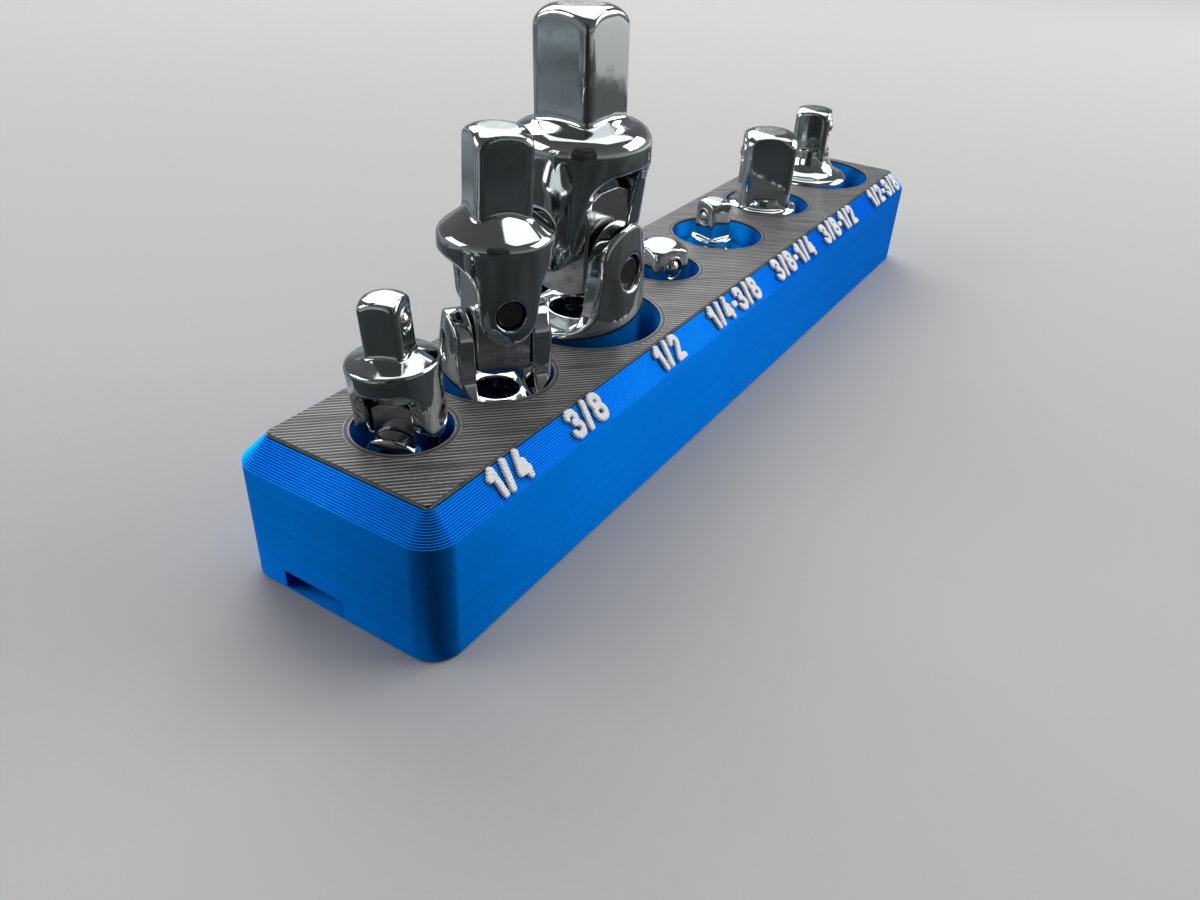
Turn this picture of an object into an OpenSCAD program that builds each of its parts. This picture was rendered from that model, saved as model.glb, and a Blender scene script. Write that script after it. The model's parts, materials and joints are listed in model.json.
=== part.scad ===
// Holder for drive adapters and universal joints: a long printed tray with seven round
// pockets, a thin dark deck, raised size labels on the sloping front edge and a magnet slot,
// with the three universal joints and four drive adapters that stand in the pockets.
// Millimetres. +X runs along the tray from the small joint to the last adapter, -Y is the
// label side, +Z is up, and the origin is the middle of the tray's underside.

/* [Tray] */
// Height of the tray, deck included
tray_h = 26.4; // [25.8:0.3:33]
// Width of the tray, from the label side to the back
tray_w = 42; // [41.4:0.2:54]
// Radius of the tray's upright corners
corner_r = 5.5; // [5:0.25:9]
// Width and height of the slope round the top
chamfer = 4.5; // [4.2:0.1:4.8]
// Width and height of the small chamfer round the underside
foot_chamfer = 0.4; // [0.2:0.1:0.6]
// Thickness of the dark deck
deck_t = 0.6; // [0.3:0.1:1.2]
// Depth of the pockets below the deck's top
pocket_depth = 18; // [16:0.5:19]
// How far the row of pockets lies behind the middle of the tray
row_shift = 0.8; // [0:0.1:1]
// Deck between the near end's slope and the first pocket
near_margin = 5.7; // [3:0.1:20]
// Deck between the last pocket and the far end's slope
far_margin = 2.3; // [1.5:0.1:20]
// Deck between the pockets of the three joints
joint_gap = 4; // [2:0.1:12]
// Deck between the pockets of the adapters
adapter_gap = 8.1; // [3:0.1:16]
// Room across the pockets of the quarter-inch tools
room_14 = 1.6; // [1:0.1:2.6]
// Room across the pockets of the three-eighths tools
room_38 = 2.2; // [1:0.1:3]
// Room across the pockets of the half-inch tools
room_12 = 4.2; // [2:0.1:4.6]

/* [Magnets] */
// Width of a bar magnet
magnet_w = 12.7; // [8:0.1:14]
// Thickness of a bar magnet
magnet_t = 3.1; // [2:0.1:4]
// Length of a bar magnet
magnet_len = 60; // [30:5:80]
// Play of the magnets in their slot, on each side
magnet_play = 0.1; // [0.05:0.05:0.3]
// Thickness of the floor under the slot
slot_floor = 0.8; // [0.4:0.1:1.4]
// Distance of the slot behind the middle of the tray
slot_shift = 4.9; // [0:0.1:8]
// Solid end behind the slot
slot_end_wall = 20; // [4:1:40]

/* [Labels] */
// Height of the figures
label_h = 5.3; // [4:0.1:5.4]
// Width of a stroke
stroke = 1.1; // [0.7:0.05:1.15]
// How far the figures stand out of the slope
label_t = 0.5; // [0.3:0.05:0.6]
// Distance of the figures above the slope's lower edge, along the slope
label_rise = 0.6; // [0.5:0.05:0.9]
// Space between two figures
letter_gap = 0.7; // [0.4:0.05:1]

/* [Drive squares] */
// Quarter-inch male square, across its flats
square_14 = 6.35; // [6:0.05:6.5]
// Three-eighths male square, across its flats
square_38 = 9.5; // [9.2:0.05:9.7]
// Half-inch male square, across its flats
square_12 = 12.7; // [12.3:0.05:12.8]
// Length of a quarter-inch male square
square_len_14 = 8.8; // [7:0.1:9.6]
// Length of a three-eighths male square
square_len_38 = 12.4; // [10:0.1:13]
// Length of a half-inch male square
square_len_12 = 16.8; // [14:0.1:18]
// Room of a male square in its female square, across the flats
square_play = 0.15; // [0.05:0.05:0.3]
// Radius on the upright edges of the male squares, as a share of their size
square_edge = 0.125; // [0.05:0.005:0.14]
// How far down the turned end of a male square reaches, as a share of its size
square_tip = 0.34; // [0.2:0.01:0.4]

/* [Quarter-inch joint] */
// Diameter of the joint
joint_d_14 = 14.8; // [14.4:0.1:16]
// Gap between its fork arms
fork_gap_14 = 7.2; // [6.8:0.1:7.4]
// Width of its fork arms
arm_w_14 = 9.2; // [8:0.1:9.4]
// Diameter of its pins
pin_d_14 = 3.2; // [2.6:0.1:3.4]
// Height of its lower pin above its foot
low_pin_14 = 15.9; // [15.5:0.1:17]
// Distance from the lower to the upper pin
pin_rise_14 = 4.7; // [4.5:0.1:5.2]
// Height of its shoulder's rim above the upper pin
rim_14 = 9; // [8.8:0.1:12]

/* [Three-eighths joint] */
// Diameter of the joint
joint_d_38 = 19.4; // [19:0.1:21]
// Gap between its fork arms
fork_gap_38 = 10; // [9.4:0.1:10.2]
// Width of its fork arms
arm_w_38 = 9.8; // [9:0.1:9.9]
// Diameter of its pins
pin_d_38 = 5; // [4:0.1:5.4]
// Height of its lower pin above its foot
low_pin_38 = 24.6; // [24:0.1:27]
// Distance from the lower to the upper pin
pin_rise_38 = 7.9; // [7.4:0.1:8.8]
// Height of its shoulder's rim above the upper pin
rim_38 = 10.6; // [10.4:0.1:14]

/* [Half-inch joint] */
// Diameter of the joint
joint_d_12 = 25.8; // [25:0.1:27]
// Gap between its fork arms
fork_gap_12 = 13.4; // [12.8:0.1:13.8]
// Width of its fork arms
arm_w_12 = 13.2; // [12.4:0.1:13.3]
// Diameter of its pins
pin_d_12 = 6.4; // [5.6:0.1:6.8]
// Height of its lower pin above its foot
low_pin_12 = 30; // [29.6:0.1:33]
// Distance from the lower to the upper pin
pin_rise_12 = 9; // [8.6:0.1:10]
// Height of its shoulder's rim above the upper pin
rim_12 = 12.6; // [12.4:0.1:16]

/* [Adapters] */
// Diameter of the quarter-inch female end
adapter_d_14 = 14; // [13.4:0.1:15]
// Diameter of the three-eighths female ends
adapter_d_38 = 18.6; // [18:0.1:19.4]
// Diameter of the half-inch female end
adapter_d_12 = 23.6; // [22.6:0.1:25]
// Length of the adapter from 1/4 to 3/8
adapter_len_14_38 = 23.6; // [23:0.1:30]
// Length of the adapter from 3/8 to 1/4
adapter_len_38_14 = 26.2; // [25.5:0.1:32]
// Length of the adapter from 3/8 to 1/2
adapter_len_38_12 = 36.4; // [35:0.1:42]
// Length of the adapter from 1/2 to 3/8
adapter_len_12_38 = 36; // [34:0.1:42]
// Length of the male squares on the adapters from and to 3/8
adapter_square_38 = 10.6; // [9:0.1:11]

/* [Fits] */
// Clearance between a pin and the arms that turn on it
pin_play = 0.05; // [0.02:0.01:0.1]
// Interference of a pin in the block it is pressed into
pin_press = 0.01; // [0.005:0.005:0.03]
// How far a pin's end lies below the arm's outside
pin_recess = 0.8; // [0.5:0.1:1.2]
// Clearance between the block and the fork arms
block_play = 0.15; // [0.1:0.05:0.3]
// Clearance between a detent ball and its hole
ball_play = 0.05; // [0.02:0.01:0.08]
// Gap between a detent spring and what it bears on
spring_gap = 0.05; // [0.02:0.01:0.1]

/* [Hidden] */
$fn = 64;
INCH_14 = 0;
INCH_38 = 1;
INCH_12 = 2;

// One value for each drive size, quarter inch first
square = [square_14, square_38, square_12];
square_len = [square_len_14, square_len_38, square_len_12];
ball_d = [3.4, 4.4, 5.4];
ball_out = [0.6, 0.75, 0.9];
ball_drop = [3.9, 4.6, 5.6];
joint_d = [joint_d_14, joint_d_38, joint_d_12];
fork_gap = [fork_gap_14, fork_gap_38, fork_gap_12];
arm_w = [arm_w_14, arm_w_38, arm_w_12];
pin_d = [pin_d_14, pin_d_38, pin_d_12];
low_pin = [low_pin_14, low_pin_38, low_pin_12];
pin_rise = [pin_rise_14, pin_rise_38, pin_rise_12];
rim = [rim_14, rim_38, rim_12];
adapter_d = [adapter_d_14, adapter_d_38, adapter_d_12];
room = [room_14, room_38, room_12];
// Rounding of the shoulder's rim, and slope of the shoulder
rim_r = [0.5, 1.6, 3.4];
shoulder_slope = [19, 38, 17];
// Height, above the upper pin, of the top of the gap between the drive fork's arms
arch_h = [5.9, 7.4, 9];
// How far the arms reach past their pins, in the drive fork and in the socket fork
drive_reach = [3.4, 5.7, 8.7];
socket_reach = [3.6, 6, 8.9];
// How much the arms' flanks spread, in degrees
drive_spread = [5, 6, 12];
socket_spread = [4, 6, 8];
// Distance from the pin to where the flanks curve outwards, and the radius of that curve
drive_flank = [3.4, 3.2, 4.6];
socket_flank = [2, 4.6, 6];
drive_curve = [3, 6, 6.5];
socket_curve = [3, 5, 6];
// How far the cross block reaches past its pins
block_end = [3, 4.6, 5.2];
// Solid web between the female square and the floor of the fork's gap
web = [2.2, 2.6, 3.1];
// Diameter of the hole through that web
web_hole = [4.6, 8, 10.6];
tip_relief = [0.15, 0.3, 0.85];
// How much longer the joints' male squares are than the female squares are deep
square_more = [0, 0, 1.2];

// The seven tools in row order: [female size, male size, diameter, turn about Z,
// share of the pocket's play along X, and along Y]
TOOLS = [
    [INCH_14, INCH_14, joint_d[INCH_14], 291.5, 0.2, -0.2],
    [INCH_38, INCH_38, joint_d[INCH_38], 234.5, 0.42, -0.45],
    [INCH_12, INCH_12, joint_d[INCH_12], 176.9, -0.46, 0.74],
    [INCH_14, INCH_38, adapter_d[INCH_14], 247, -0.2, 0.5],
    [INCH_38, INCH_14, adapter_d[INCH_38], 159, -0.3, 0.8],
    [INCH_38, INCH_12, adapter_d[INCH_38], 120, -0.35, 0.85],
    [INCH_12, INCH_38, adapter_d[INCH_12], 284, -0.3, 0.75]
];
LABELS = ["1/4", "3/8", "1/2", "1/4-3/8", "3/8-1/4", "3/8-1/2", "1/2-3/8"];
// How far each label stands from its pocket's middle, along the row
LABEL_SHIFT = [1.8, 0.2, -1, -3.4, 1.9, 1.8, 4.1];
// Lean of each joint at rest: about its lower pin, then about its upper pin
LEAN = [[-4.6, 0], [0, -1.6], [0, 2]];

// ---- Places along the row --------------------------------------------------------------

pocket_r = [for (i = [0:2]) joint_d[i] / 2 + room[i] / 2];
function female(i) = TOOLS[i][0];
function male(i) = TOOLS[i][1];
function tool_d(i) = TOOLS[i][2];
function own_pocket_r(i) = pocket_r[female(i)];
function gap_before(i) = i == 0 ? chamfer + near_margin : (i < 3 ? joint_gap : adapter_gap);
// Distance of a pocket's middle from the tray's near end
function along(i) = gap_before(i) + own_pocket_r(i) + (i == 0 ? 0 : along(i - 1) + own_pocket_r(i - 1));
tray_len = along(6) + own_pocket_r(6) + far_margin + chamfer;
function pocket_x(i) = along(i) - tray_len / 2;
row_y = row_shift;
floor_z = tray_h - pocket_depth;
function play_r(i) = own_pocket_r(i) - tool_d(i) / 2;
function tool_x(i) = pocket_x(i) + play_r(i) * TOOLS[i][4];
function tool_y(i) = row_y + play_r(i) * TOOLS[i][5];

slot_w = magnet_w + 2 * magnet_play;
slot_h = magnet_t + 2 * magnet_play;
slot_len = tray_len - slot_end_wall;
magnet_count = floor(slot_len / magnet_len);

// ---- Shared shapes ---------------------------------------------------------------------

// A block with upright rounded corners, whose edge follows [inset, height] points
module edged_block(edge) {
    low = edge[0][1];
    high = edge[len(edge) - 1][1];
    core_x = tray_len / 2 - corner_r;
    core_y = tray_w / 2 - corner_r;
    for (sx = [-1, 1], sy = [-1, 1]) translate([sx * core_x, sy * core_y, 0])
        rotate_extrude() polygon(concat(
            [[0, high], [0, low]], [for (p = edge) [corner_r - p[0], p[1]]]));
    rotate([90, 0, 0]) linear_extrude(2 * core_y, center = true)
        polygon(side_outline(edge, tray_len / 2));
    rotate([90, 0, 90]) linear_extrude(2 * core_x, center = true)
        polygon(side_outline(edge, tray_w / 2));
}

function side_outline(edge, half) = concat(
    [for (p = edge) [half - p[0], p[1]]],
    [for (i = [len(edge) - 1:-1:0]) [edge[i][0] - half, edge[i][1]]]);

// Square with rounded corners
module rounded_square(size, r) {
    square([size - 2 * r, size], center = true);
    square([size, size - 2 * r], center = true);
    for (sx = [-1, 1], sy = [-1, 1])
        translate([sx * (size / 2 - r), sy * (size / 2 - r)]) circle(r, $fn = 32);
}

// Male square that stands up from z = 0; its end is turned to a quarter ellipse round a flat disc
TIP_STEPS = 7;
module male_square(size, length) {
    disc = size * 0.31;
    reach = size * 0.37;
    tip = size * square_tip;
    intersection() {
        linear_extrude(length) rounded_square(size, size * square_edge);
        rotate_extrude() polygon([[0, 0], [disc + reach + hair, 0],
            each [for (k = [0:TIP_STEPS]) let(a = 90 * k / TIP_STEPS)
                [disc + (reach + hair) * cos(a), length - tip + tip * sin(a)]],
            [0, length]]);
    }
}

// What a female square cuts out of a foot at z = 0: the square, its lead-in and the four
// dimples that the other tool's ball clicks into
module female_square(i) {
    across = square[i] + square_play;
    depth = socket_depth(i);
    dimple_z = depth - ball_drop[i];
    translate([-across / 2, -across / 2, -1]) cube([across, across, depth + 1]);
    translate([0, 0, -0.01]) cylinder(h = across * 0.14, r1 = across * 0.63, r2 = across * 0.49);
    for (turn = [0, 90]) rotate([0, 0, turn]) translate([0, 0, dimple_z]) rotate([0, 90, 0])
        cylinder(h = across + 2 * ball_out[i], d = ball_d[i], center = true, $fn = 32);
}
function socket_depth(i) = square_len[i] - 0.2;

// Hole for a detent ball, along +X through the flat of a square, with a lip at its mouth
lip_t = 0.3;
function ball_x(i) = square[i] / 2 + ball_out[i] - ball_d[i] / 2;
function ball_hole_end(i) = -square[i] / 2 + 1.1;
function mouth_r(i) = sqrt(pow(ball_d[i] / 2, 2) - pow(ball_d[i] / 2 - ball_out[i] - lip_t, 2)) + ball_play;
module ball_hole(i) {
    hole_end = ball_hole_end(i);
    rotate([0, 90, 0]) {
        translate([0, 0, hole_end])
            cylinder(h = square[i] / 2 - lip_t - hole_end, d = ball_d[i] + 2 * ball_play, $fn = 32);
        cylinder(h = square[i], r = mouth_r(i), $fn = 32);
    }
}

module ball(i) {
    color("silver") translate([ball_x(i), 0, 0]) sphere(d = ball_d[i], $fn = 32);
}

// Coil spring between the end of the hole and the ball
SPRING_TURNS = 5;
RING_STEPS = 10;
WIRE_SIDES = 6;
module spring(i) {
    wire_r = ball_d[i] * 0.06;
    coil_r = ball_d[i] / 2 - wire_r - ball_play;
    start = ball_hole_end(i) + wire_r + spring_gap;
    // the coil's last turn lies on the ball's inner side
    seat = sqrt(pow(ball_d[i] / 2 + wire_r + spring_gap, 2) - pow(coil_r, 2));
    end = ball_x(i) - seat;
    rings = SPRING_TURNS * RING_STEPS;
    points = [for (k = [0:rings]) let(a = 360 * k / RING_STEPS, x = start + (end - start) * k / rings)
        for (s = [0:WIRE_SIDES - 1]) let(b = 360 * s / WIRE_SIDES, r = coil_r + wire_r * cos(b))
            [x + wire_r * sin(b), r * cos(a), r * sin(a)]];
    sides = [for (k = [0:rings - 1], s = [0:WIRE_SIDES - 1]) let(
        t = (s + 1) % WIRE_SIDES, p = k * WIRE_SIDES)
        each [[p + s, p + WIRE_SIDES + s, p + t], [p + t, p + WIRE_SIDES + s, p + WIRE_SIDES + t]]];
    first_cap = [for (s = [1:WIRE_SIDES - 2]) [0, s, s + 1]];
    last = rings * WIRE_SIDES;
    last_cap = [for (s = [1:WIRE_SIDES - 2]) [last, last + s + 1, last + s]];
    color("gainsboro") polyhedron(points, concat(sides, first_cap, last_cap));
}

// ---- Tray ------------------------------------------------------------------------------

module pockets() {
    for (i = [0:6]) translate([pocket_x(i), row_y, floor_z])
        cylinder(h = pocket_depth + 1, r = own_pocket_r(i));
}

module tray_body() {
    side_top = tray_h - chamfer;
    deck_z = tray_h - deck_t;
    color("royalblue") difference() {
        edged_block([[foot_chamfer, 0], [0, foot_chamfer], [0, side_top], [deck_z - side_top, deck_z]]);
        pockets();
        translate([-tray_len / 2 - 1, slot_shift - slot_w / 2, slot_floor])
            cube([slot_len + 1, slot_w, slot_h]);
    }
}

module deck_inlay() {
    color("dimgray") difference() {
        edged_block([[chamfer - deck_t, tray_h - deck_t], [chamfer, tray_h]]);
        pockets();
    }
}

module bar_magnets() {
    closed_end = slot_len - tray_len / 2;
    color("silver") for (k = [0:magnet_count - 1])
        translate([closed_end - (k + 1) * magnet_len, slot_shift - magnet_w / 2, slot_floor])
            cube([magnet_len - 0.1, magnet_w, magnet_t]);
}

// ---- Labels ----------------------------------------------------------------------------

// A straight stroke with round ends
module bar(from, to) {
    run = to - from;
    translate(from) rotate(atan2(run[1], run[0])) translate([0, -stroke / 2])
        square([norm(run), stroke]);
    for (p = [from, to]) translate(p) circle(d = stroke, $fn = 24);
}

// A curved stroke with round ends, from one angle round to a larger one
module bow(centre, r, from, to) {
    reach = 2 * r + stroke;
    middle = (from + to) / 2;
    translate(centre) {
        difference() {
            circle(r + stroke / 2, $fn = 40);
            circle(r - stroke / 2, $fn = 40);
            if (to - from < 360) rotate(middle + 180) polygon(concat([[0, 0]],
                [for (k = [-2:2]) let(a = k * (360 - to + from) / 4) reach * [cos(a), sin(a)]]));
        }
        if (to - from < 360) for (a = [from, to])
            translate(r * [cos(a), sin(a)]) circle(d = stroke, $fn = 24);
    }
}

function figure_w(c) = label_h * (c == "-" ? 0.36 : c == "1" ? 0.4 : c == "/" ? 0.43 : 0.59);
module figure(c) {
    b = stroke / 2;
    top = label_h - b;
    right = figure_w(c) - b;
    middle = figure_w(c) / 2;
    if (c == "1") {
        bar([b, top - label_h * 0.2], [right, top]);
        bar([right, top], [right, b]);
    }
    if (c == "2") {
        r = middle - b;
        bow([middle, top - r], r, -35, 170);
        bar([middle, top - r] + r * [cos(35), -sin(35)], [b, b]);
        bar([b, b], [right, b]);
    }
    if (c == "3") {
        r_top = (label_h - stroke) * 0.23;
        r_low = (label_h - stroke) * 0.27;
        bow([middle - stroke * 0.1, top - r_top], r_top, -90, 160);
        bow([middle - stroke * 0.1, b + r_low], r_low, -160, 90);
    }
    if (c == "4") {
        cross = b + label_h * 0.2;
        foot = middle + stroke * 0.6;
        bar([middle + stroke * 0.3, top], [b, cross]);
        bar([b, cross], [right, cross]);
        bar([foot, b + label_h * 0.45], [foot, b]);
    }
    if (c == "8") {
        r_top = (label_h - stroke) * 0.23;
        r_low = (label_h - stroke) * 0.27;
        bow([middle, top - r_top], r_top, 0, 360);
        bow([middle, b + r_low], r_low, 0, 360);
    }
    if (c == "/") bar([b, b], [right, top]);
    if (c == "-") bar([b, label_h * 0.46], [right, label_h * 0.46]);
}

function text_w(t, k = 0) = k == len(t) ? -letter_gap : figure_w(t[k]) + letter_gap + text_w(t, k + 1);
function start_of(t, k) = k == 0 ? 0 : start_of(t, k - 1) + figure_w(t[k - 1]) + letter_gap;

module label(i) {
    t = LABELS[i];
    color("white") translate([label_x(i), -tray_w / 2, tray_h - chamfer])
        rotate([45, 0, 0]) translate([-text_w(t) / 2, label_rise, 0]) linear_extrude(label_t)
            for (k = [0:len(t) - 1]) translate([start_of(t, k), 0]) figure(t[k]);
}
// A label ends before the tray's corner
function label_x(i) = min(pocket_x(i) + LABEL_SHIFT[i], tray_len / 2 - corner_r - text_w(LABELS[i]) / 2);

// ---- Universal joints ------------------------------------------------------------------

// Places of a joint's three groups, each with its own pin's middle as its origin. X is the
// upper pin's axis and Y the lower one's.
module on_foot(i) {
    translate([tool_x(i), tool_y(i), floor_z]) rotate([0, 0, TOOLS[i][3]]) children();
}
module on_lower_pin(i) {
    on_foot(i) translate([0, 0, low_pin[i]]) rotate([0, LEAN[i][0], 0]) children();
}
module on_upper_pin(i) {
    on_lower_pin(i) translate([0, 0, pin_rise[i]]) rotate([LEAN[i][1], 0, 0]) children();
}

// Outline of a fork arm, seen along its pin at the origin: a round tip that reaches down past
// the pin, flanks that spread upwards, and a hollow curve out to the fork's full width. Where
// a line runs into a curve, it does so a hair's breadth inside it.
hair = 0.03;
module arm_outline(i, reach, spread, flank, curve, top) {
    tip = arm_w[i] / 2;
    wide = joint_d[i] / 2 + 1;
    across = [cos(spread), -sin(spread)];
    along = [sin(spread), cos(spread)];
    start = [0, tip - reach] + (tip - hair) * across;
    end = start + (flank - start[1]) / cos(spread) * along;
    past = end + along;
    middle = end + (curve - hair) * across;
    translate([0, tip - reach]) circle(tip);
    polygon([start, past, [past[0], top], [-past[0], top], [-past[0], past[1]],
        [-start[0], start[1]]]);
    difference() {
        translate([-wide, end[1]]) square([2 * wide, top - end[1]]);
        for (s = [0, 1]) mirror([s, 0]) {
            translate(middle) circle(curve, $fn = 48);
            translate([middle[0], end[1] - 1])
                square([wide, middle[1] + curve - hair - end[1] + 1]);
        }
    }
}

// The slot between two arms, as wide as the gap, closed at the height top with rounded corners;
// it widens a little towards the arms' ends, which lie at the height -reach
module fork_slot(i, low, top, reach) {
    g = fork_gap[i];
    r = g * 0.12;
    a = g / 2 - hair;
    b = a + tip_relief[i];
    rotate([90, 0, 0]) linear_extrude(joint_d[i] + 2, center = true) {
        polygon([[-a, -reach * 0.3], [a, -reach * 0.3], [b, -reach], [b, -reach - 1],
            [-b, -reach - 1], [-b, -reach]]);
        translate([-g / 2, low]) square([g, top - low - r]);
        translate([-g / 2 + r, low]) square([g - 2 * r, top - low]);
        for (s = [-1, 1]) translate([s * (g / 2 - r), top - r]) circle(r, $fn = 24);
    }
}

// Bore for a pin along X through both arms, with a shallow countersink at each mouth
module pin_bore(i) {
    reach = joint_d[i] / 2;
    r = pin_d[i] / 2 + pin_play;
    rotate([0, 90, 0]) {
        cylinder(h = 2 * reach + 2, r = r, center = true);
        for (s = [0, 1]) mirror([0, 0, s]) translate([0, 0, reach - 0.45])
            cylinder(h = 1, r1 = r, r2 = r + 1);
    }
}

module socket_fork(i) {
    half = joint_d[i] / 2;
    slot_bottom = socket_depth(i) + web[i];
    edge = half * 0.1;
    top = low_pin[i] + socket_reach[i] + 1;
    color("silver") on_foot(i) difference() {
        intersection() {
            rotate_extrude() polygon([[0, 0], [half - edge, 0], [half, edge],
                [half, low_pin[i]], [half - edge, top], [0, top]]);
            translate([0, 0, low_pin[i]]) rotate([90, 180, 0])
                linear_extrude(joint_d[i] + 2, center = true)
                    arm_outline(i, socket_reach[i], socket_spread[i], socket_flank[i],
                        socket_curve[i], low_pin[i] + 1);
        }
        translate([0, 0, low_pin[i]]) rotate([180, 0, 90])
            fork_slot(i, -joint_d[i], low_pin[i] - slot_bottom,
                socket_reach[i]);
        translate([0, 0, low_pin[i]]) rotate([0, 0, 90]) pin_bore(i);
        translate([0, 0, slot_bottom - web[i] - 1]) cylinder(h = web[i] + 2, d = web_hole[i]);
        female_square(female(i));
    }
}

// Height, above the upper pin, at which the shoulder's slope meets the square's flats
function shoulder_top(i) = rim[i] + rim_r[i] * cos(shoulder_slope[i])
    + (slope_start_r(i) - square[i] / 2) * tan(shoulder_slope[i]);
// Height, above the upper pin, of the end of the male square
function square_top(i) = shoulder_top(i) + square_len[i] + square_more[i];
function slope_start_r(i) = joint_d[i] / 2 - rim_r[i] * (1 - sin(shoulder_slope[i]));

module drive_fork(i) {
    half = joint_d[i] / 2;
    low = drive_reach[i] + 1;
    slope_z = rim[i] + rim_r[i] * cos(shoulder_slope[i]);
    top = shoulder_top(i);
    waist = half * 0.97;
    color("silver") on_upper_pin(i) difference() {
        union() {
            intersection() {
                rotate_extrude() {
                    polygon([[0, -low], [waist * 0.92, -low], [waist, -low * 0.35],
                        [half, rim[i]], [slope_start_r(i), slope_z], [square[i] / 2, top], [0, top]]);
                    translate([half - rim_r[i], rim[i]]) circle(rim_r[i], $fn = 48);
                }
                rotate([90, 0, 90]) linear_extrude(joint_d[i] + 2, center = true)
                    arm_outline(i, drive_reach[i], drive_spread[i], drive_flank[i],
                        drive_curve[i], top + 1);
            }
            translate([0, 0, rim[i]]) male_square(square[i], square_top(i) - rim[i]);
        }
        fork_slot(i, -joint_d[i], arch_h[i], drive_reach[i]);
        pin_bore(i);
        translate([0, 0, square_top(i) - ball_drop[i]]) rotate([0, 0, ball_turn(i)]) ball_hole(i);
    }
}
// The balls face away from the label side, except on the small joint
function ball_turn(i) = i == 0 ? 0 : 180;

// Square block between the four arms, its ends turned down a little at the corners
module cross_block(i) {
    half = fork_gap[i] / 2 - block_play;
    below = block_end[i];
    height = pin_rise[i] + 2 * below;
    corner = half * 1.36;
    edge = half * 0.3;
    color("silver") on_lower_pin(i) difference() {
        translate([0, 0, -below]) intersection() {
            translate([-half, -half, 0]) cube([2 * half, 2 * half, height]);
            rotate_extrude() polygon([[0, 0], [corner - edge, 0], [corner, edge * 0.7],
                [corner, height - edge * 0.7], [corner - edge, height], [0, height]]);
        }
        rotate([90, 0, 0]) cylinder(h = 3 * half, d = pin_d[i] - 2 * pin_press, center = true);
        translate([0, 0, pin_rise[i]]) rotate([0, 90, 0])
            cylinder(h = 3 * half, d = pin_d[i] - 2 * pin_press, center = true);
    }
}

// A pin along X with chamfered ends
module pin(i) {
    length = joint_d[i] * 0.97 - 2 * pin_recess;
    r = pin_d[i] / 2;
    c = r * 0.2;
    rotate([0, 90, 0]) translate([0, 0, -length / 2]) rotate_extrude() polygon([[0, 0], [r - c, 0],
        [r, c], [r, length - c], [r - c, length], [0, length]]);
}
module lower_pin(i) {
    color("gray") on_lower_pin(i) rotate([0, 0, 90]) pin(i);
}
module upper_pin(i) {
    color("gray") on_lower_pin(i) translate([0, 0, pin_rise[i]]) pin(i);
}

module joint_ball(i) {
    on_upper_pin(i) translate([0, 0, square_top(i) - ball_drop[i]])
        rotate([0, 0, ball_turn(i)]) ball(i);
}
module joint_spring(i) {
    on_upper_pin(i) translate([0, 0, square_top(i) - ball_drop[i]])
        rotate([0, 0, ball_turn(i)]) spring(i);
}

// ---- Adapters --------------------------------------------------------------------------

// Each adapter's [length, square length, neck's radius, height where the full body ends]
ADAPTERS = [
    [adapter_len_14_38, adapter_square_38, 0.5 * square_38, 12.2],
    [adapter_len_38_14, square_len_14, 0.78 * square_14, 13.6],
    [adapter_len_38_12, square_len_12 - 0.6, 0.56 * square_12, 18],
    [adapter_len_12_38, adapter_square_38, 0.58 * square_38, 18.4]
];
function square_foot(i) = ADAPTERS[i - 3][0] - ADAPTERS[i - 3][1];

module adapter_body(i) {
    half = tool_d(i) / 2;
    own = ADAPTERS[i - 3];
    neck_r = own[2];
    body_h = min(own[3], square_foot(i) - 0.6);
    edge = half * 0.08;
    color("silver") on_foot(i) difference() {
        union() {
            rotate_extrude() polygon([[0, 0], [half - edge, 0], [half, edge], [half, body_h - edge],
                [half - edge, body_h], each neck_curve(half - edge, body_h, neck_r, square_foot(i)),
                [0, square_foot(i)]]);
            translate([0, 0, body_h - 1])
                male_square(square[male(i)], own[0] - body_h + 1);
        }
        female_square(female(i));
        translate([0, 0, own[0] - ball_drop[male(i)]]) ball_hole(male(i));
    }
}
// Points of the hollow shoulder between the body's top and the neck
SHOULDER_STEPS = 5;
function neck_curve(r0, z0, r1, z1) = [for (k = [1:SHOULDER_STEPS]) let(t = k / SHOULDER_STEPS)
    [r0 + (r1 - r0) * sin(90 * t), z0 + (z1 - z0) * (1 - cos(90 * t))]];

module adapter_ball(i) {
    on_foot(i) translate([0, 0, ADAPTERS[i - 3][0] - ball_drop[male(i)]]) ball(male(i));
}
module adapter_spring(i) {
    on_foot(i) translate([0, 0, ADAPTERS[i - 3][0] - ball_drop[male(i)]]) spring(male(i));
}

// ---- Nodes -----------------------------------------------------------------------------

tray_body();
deck_inlay();
bar_magnets();

label(0);  // label_1
label(1);  // label_2
label(2);  // label_3
label(3);  // label_4
label(4);  // label_5
label(5);  // label_6
label(6);  // label_7

socket_fork(0);  // joint_14_socket_fork
cross_block(0);  // joint_14_cross_block
lower_pin(0);  // joint_14_lower_pin
upper_pin(0);  // joint_14_upper_pin
drive_fork(0);  // joint_14_drive_fork
joint_ball(0);  // joint_14_ball
joint_spring(0);  // joint_14_spring

socket_fork(1);  // joint_38_socket_fork
cross_block(1);  // joint_38_cross_block
lower_pin(1);  // joint_38_lower_pin
upper_pin(1);  // joint_38_upper_pin
drive_fork(1);  // joint_38_drive_fork
joint_ball(1);  // joint_38_ball
joint_spring(1);  // joint_38_spring

socket_fork(2);  // joint_12_socket_fork
cross_block(2);  // joint_12_cross_block
lower_pin(2);  // joint_12_lower_pin
upper_pin(2);  // joint_12_upper_pin
drive_fork(2);  // joint_12_drive_fork
joint_ball(2);  // joint_12_ball
joint_spring(2);  // joint_12_spring

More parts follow.
